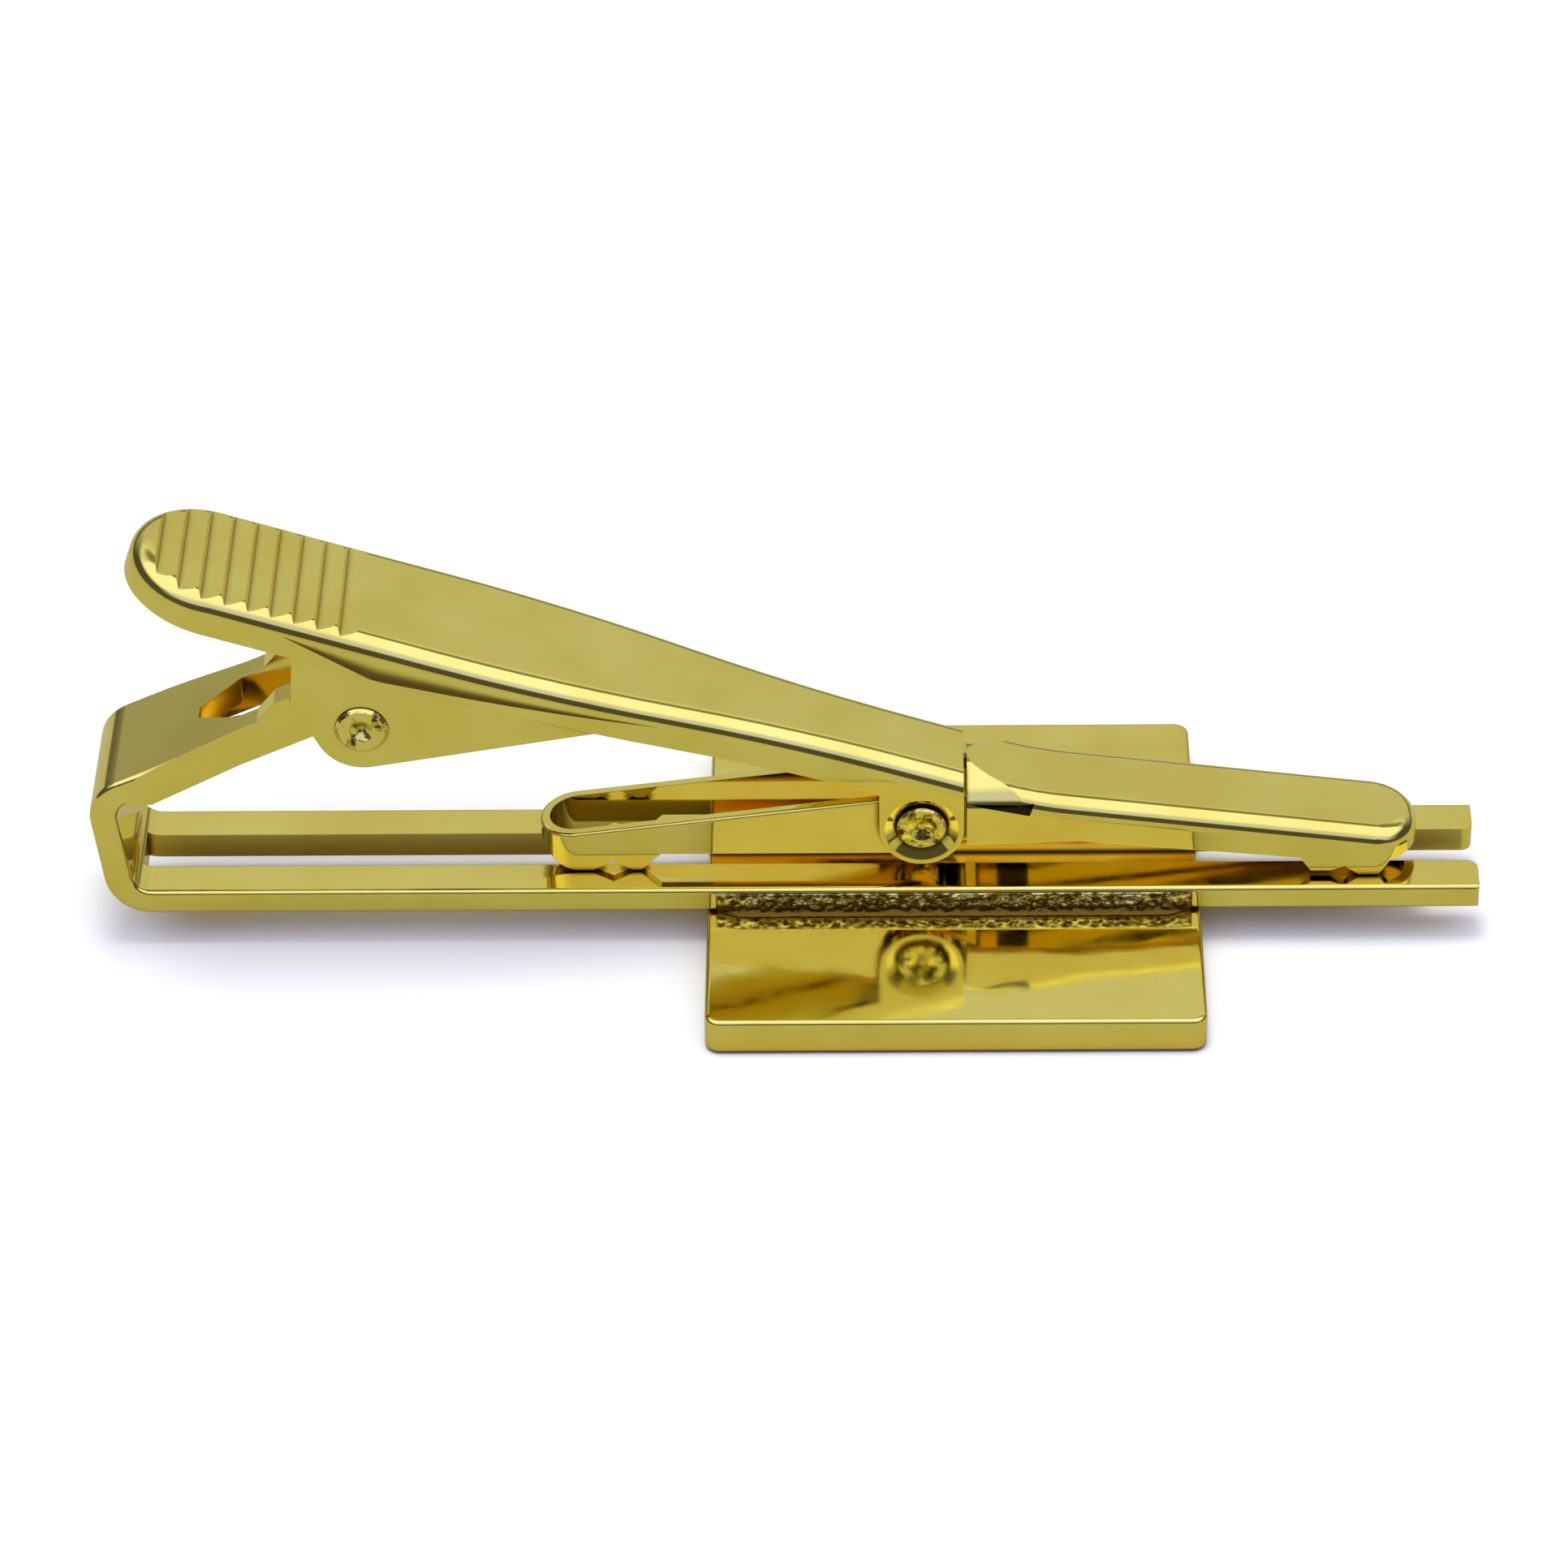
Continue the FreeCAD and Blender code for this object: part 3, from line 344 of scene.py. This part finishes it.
def solder_gold():
    """Plated solder: pale grains over painted shade in its pits, and a painted shadow along its foot by the plate.
    """
    material, tree = new_material("solder")
    place = add_node(tree, "TexCoord").outputs["Object"]
    height = add_node(tree, "SeparateXYZ", Vector=place).outputs["Z"]
    pits = noise_value(tree, place, *PITS, PIT_SCALE)
    grit = noise_value(tree, place, *GRIT)
    grains = colour_ramp(tree, pits, SOLDER_COLOURS)
    # Painted shadow along the foot, where the bead meets the plate
    colour = mix_colours(tree, spread_range(tree, height, 0, 1, *SOLDER_FOOT), SOLDER_SHADE, grains)
    normal = bumped(tree, grit, GRIT_HEIGHT, bumped(tree, pits, PIT_DEPTH))
    metal_surface(tree, colour, spread_range(tree, grit, *SOLDER_ROUGHNESS), normal)
    return material


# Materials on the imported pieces

materials = {name: gold(name, **finish) for name, finish in GOLD_FINISHES.items()}
materials["solder"] = solder_gold()
for part in frame["record"]["subparts"]:
    mesh = nodes[part["node"]].data
    mesh.materials.clear()
    mesh.materials.append(materials[part["material_slot"]])


# Solder beads over the seams

BEAD_LENGTH = 19.3 * MM
BEAD_STEPS = 300
BEAD_ROWS = 16
BEAD_SKIN = 0.05 * MM
BEAD_FOOT = 0.42 * MM
FOOT_POWER = 4
BEAD_LUMP = 0.15 * MM
LUMP_LENGTH = 0.24 * MM
LUMP_HEIGHT = 0.16 * MM
LUMP_LIFT = 0.35
SIDE_SEED = 7

# Shares of the bead's length and height where it tapers off and where its grain starts and is full
END_TAPER = 1 / 20
TOP_TAPER = 1 / 6
GRAIN_START = 0.16
GRAIN_FULL = 0.36


def ramp_up(value, start, finish):
    """0 up to the start, 1 from the finish on, and straight between."""
    return min(1, max(0, (value - start) / (finish - start)))


def bead_point(share, rise, side, rail, foot_z, top_z):
    """A point of the bead: share runs along it and rise up the rail's side, grainy above a smooth foot."""
    x = (share - 0.5) * BEAD_LENGTH
    z = foot_z + (top_z - foot_z) * rise
    taper = ramp_up(min(share, 1 - share), 0, END_TAPER)
    grainy = taper * ramp_up(rise, GRAIN_START, GRAIN_FULL) * ramp_up(1 - rise, 0, TOP_TAPER)
    lump = noise.noise(Vector((x / LUMP_LENGTH, z / LUMP_HEIGHT, SIDE_SEED * side)))
    out = taper * (BEAD_SKIN + BEAD_FOOT * (1 - rise) ** FOOT_POWER)
    out += BEAD_LUMP * grainy * max(0, LUMP_LIFT + lump)
    return Vector((x, side * (rail + out), z))


def bead_outline(share, side, rail, foot_z, top_z):
    """The bead's closed outline at one place along it: its skin, then its flat back on the rail."""
    rises = [row / BEAD_ROWS for row in range(BEAD_ROWS + 1)]
    skin = [bead_point(share, rise, side, rail, foot_z, top_z) for rise in rises]
    back = [Vector((skin[0].x, side * rail, z)) for z in (top_z, foot_z)]
    return skin + back


def solder_bead(name, side, node):
    """A grainy bead in the place of a plain seam, on one side of the bar."""
    low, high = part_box("clip_frame")
    rail = high.y
    foot_z = low.z
    top_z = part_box(node)[1].z
    shell = bmesh.new()
    rows = []
    for step in range(BEAD_STEPS + 1):
        outline = bead_outline(step / BEAD_STEPS, side, rail, foot_z, top_z)
        rows.append([shell.verts.new(point) for point in outline])
    count = len(rows[0])
    for first, second in zip(rows, rows[1:]):
        for index in range(count):
            after = (index + 1) % count
            shell.faces.new((first[index], first[after], second[after], second[index]))
    shell.faces.new(rows[0])
    shell.faces.new(reversed(rows[-1]))
    bmesh.ops.recalc_face_normals(shell, faces=shell.faces)
    for face in shell.faces:
        face.smooth = True
    mesh = bpy.data.meshes.new(name)
    shell.to_mesh(mesh)
    shell.free()
    mesh.materials.append(materials["solder"])
    bead = put_in_scene(name, mesh)
    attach(bead, "frame")
    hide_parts(node)


solder_bead("solder_bead_front", -1, "solder_seam_front")
solder_bead("solder_bead_rear", 1, "solder_seam_rear")


# Leaf spring


def bending_spring():
    """A copy of the leaf spring, in place of the imported one."""
    spring = put_in_scene("spring_leaf", nodes["leaf_spring"].data.copy())
    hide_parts("leaf_spring")
    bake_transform(spring)


bending_spring()


# Floor

FLOOR_PLAIN = (0.45, 0.45, 0.45, 1)
FLOOR_MIRRORED = (0.50, 0.475, 0.28, 1)
FLOOR_WHITE = (1.04, 1.03, 0.92, 1)
FLOOR_HALF = 1.5
FLOOR_LEVEL = -0.01 * MM


def build_floor():
    """A pale floor, white to the camera and duller in the metal, with the object's shadow on it."""
    material, tree = new_material("floor")
    rays = add_node(tree, "LightPath").outputs
    mirrored = math_node(tree, "MAXIMUM", rays["Is Glossy Ray"], rays["Is Transmission Ray"])
    pale = mix_colours(tree, mirrored, FLOOR_PLAIN, FLOOR_MIRRORED)
    seen = mix_colours(tree, rays["Is Camera Ray"], pale, FLOOR_WHITE)
    surface = add_node(tree, "BsdfDiffuse", Color=seen)
    add_node(tree, "OutputMaterial", Surface=surface.outputs["BSDF"])
    mesh = bpy.data.meshes.new("floor")
    signs = [(-1, -1), (1, -1), (1, 1), (-1, 1)]
    corners = [(x * FLOOR_HALF, y * FLOOR_HALF, FLOOR_LEVEL) for x, y in signs]
    mesh.from_pydata(corners, [], [(0, 1, 2, 3)])
    mesh.materials.append(material)
    floor = put_in_scene("floor", mesh)


# Room and light

BLACK = (0, 0, 0, 1)
WHITE = (1, 1, 1, 1)
LOW_DARK = (0.05, 0.05, 0.05, 1)
FRONT_WALL = (0.42, 0.44, 0.85, 1)
OVERHEAD = (0.68, 0.71, 0.95, 1)
BACK_GAP = (0.15, 0.15, 0.12, 1)
BACK_GLOW = (0.46, 0.46, 0.46, 1)
BACK_WALL = (0.345, 0.345, 0.33, 1)
LOW_BACK = (0.12, 0.12, 0.11, 1)
ROOM_LEVEL = 1.75

# The room along a sweep over the object: share of the way from the front to the back, and what is there
SWEEP = [
    (0.00, LOW_DARK), (0.14, LOW_DARK), (0.17, FRONT_WALL), (0.24, FRONT_WALL), (0.32, OVERHEAD),
    (0.62, OVERHEAD), (0.65, BACK_GAP), (0.715, BACK_GAP), (0.75, BACK_GLOW), (0.80, BACK_WALL),
    (0.90, BACK_WALL), (0.95, LOW_BACK), (1.00, LOW_BACK),
]
# The sides of the room, by height
SIDES = [(0.45, LOW_DARK), (0.62, OVERHEAD)]
# White where the sides take over from the sweep, from the left to the right
ASIDE = [(0.10, WHITE), (0.35, BLACK), (0.80, BLACK), (0.95, WHITE)]


def build_world():
    """A room that is dark low down in front and at the sides, bright overhead and pale behind."""
    world = bpy.data.worlds.new("studio")
    scene.world = world
    world.use_nodes = True
    tree = world.node_tree
    tree.nodes.clear()
    direction = add_node(tree, "TexCoord").outputs["Generated"]
    axes = add_node(tree, "SeparateXYZ", Vector=direction).outputs
    angle = math_node(tree, "ARCTAN2", axes["Z"], math_node(tree, "MULTIPLY", axes["Y"], -1.0))
    sweep = colour_ramp(tree, math_node(tree, "DIVIDE", angle, pi), SWEEP)
    sides = colour_ramp(tree, axes["Z"], SIDES)
    across = math_node(tree, "MULTIPLY_ADD", axes["X"], 0.5, 0.5)
    seen = mix_colours(tree, colour_ramp(tree, across, ASIDE), sweep, sides)
    room = add_node(tree, "Background", Color=seen, Strength=ROOM_LEVEL)
    white = add_node(tree, "Background", Color=WHITE, Strength=1.0)
    mix = add_node(tree, "MixShader", Fac=add_node(tree, "LightPath").outputs["Is Camera Ray"])
    tree.links.new(room.outputs["Background"], mix.inputs[1])
    tree.links.new(white.outputs["Background"], mix.inputs[2])
    add_node(tree, "OutputWorld", Surface=mix.outputs["Shader"])


LIGHT_PLACE = Vector((-0.03, 0.01, 0.45))
LIGHT_WIDTH = 0.16
LIGHT_DEPTH = 0.12
LIGHT_LEVEL = 11.0


def build_light():
    """A soft light overhead, aimed at the object. Its level is how bright its face is, where 1 is white."""
    lamp = bpy.data.lights.new("top_light", "AREA")
    lamp.shape = "RECTANGLE"
    lamp.size = LIGHT_WIDTH
    lamp.size_y = LIGHT_DEPTH
    lamp.energy = LIGHT_LEVEL * pi * LIGHT_WIDTH * LIGHT_DEPTH
    light = put_in_scene("top_light", lamp)
    light.location = LIGHT_PLACE
    light.rotation_euler = LIGHT_PLACE.to_track_quat("Z", "Y").to_euler()
    light.visible_camera = False
    light.visible_glossy = False


build_floor()
build_world()
build_light()


# Camera, fitted to the corners of the plate and bar in the photo

EYE = Vector((-2.957, -209.122, 162.831)) * MM
ELEVATION = radians(36.872)
YAW = radians(1.069)
ROLL = radians(-0.936)
LENS_MM = 148.16
SENSOR_MM = 36
NEAR_LIMIT = 0.01


def build_camera():
    """A camera at the photo's place and angle."""
    camera = bpy.data.cameras.new("camera")
    camera.lens = LENS_MM
    camera.sensor_width = SENSOR_MM
    camera.clip_start = NEAR_LIMIT
    view = put_in_scene("camera", camera)
    back = Vector((sin(YAW) * cos(ELEVATION), -cos(YAW) * cos(ELEVATION), sin(ELEVATION)))
    right = Vector((cos(YAW), sin(YAW), 0))
    turn = Matrix((right, back.cross(right), back)).transposed().to_4x4()
    view.matrix_world = Matrix.Translation(EYE) @ turn @ Matrix.Rotation(ROLL, 4, "Z")
    scene.camera = view


build_camera()
scene.view_settings.view_transform = "Standard"
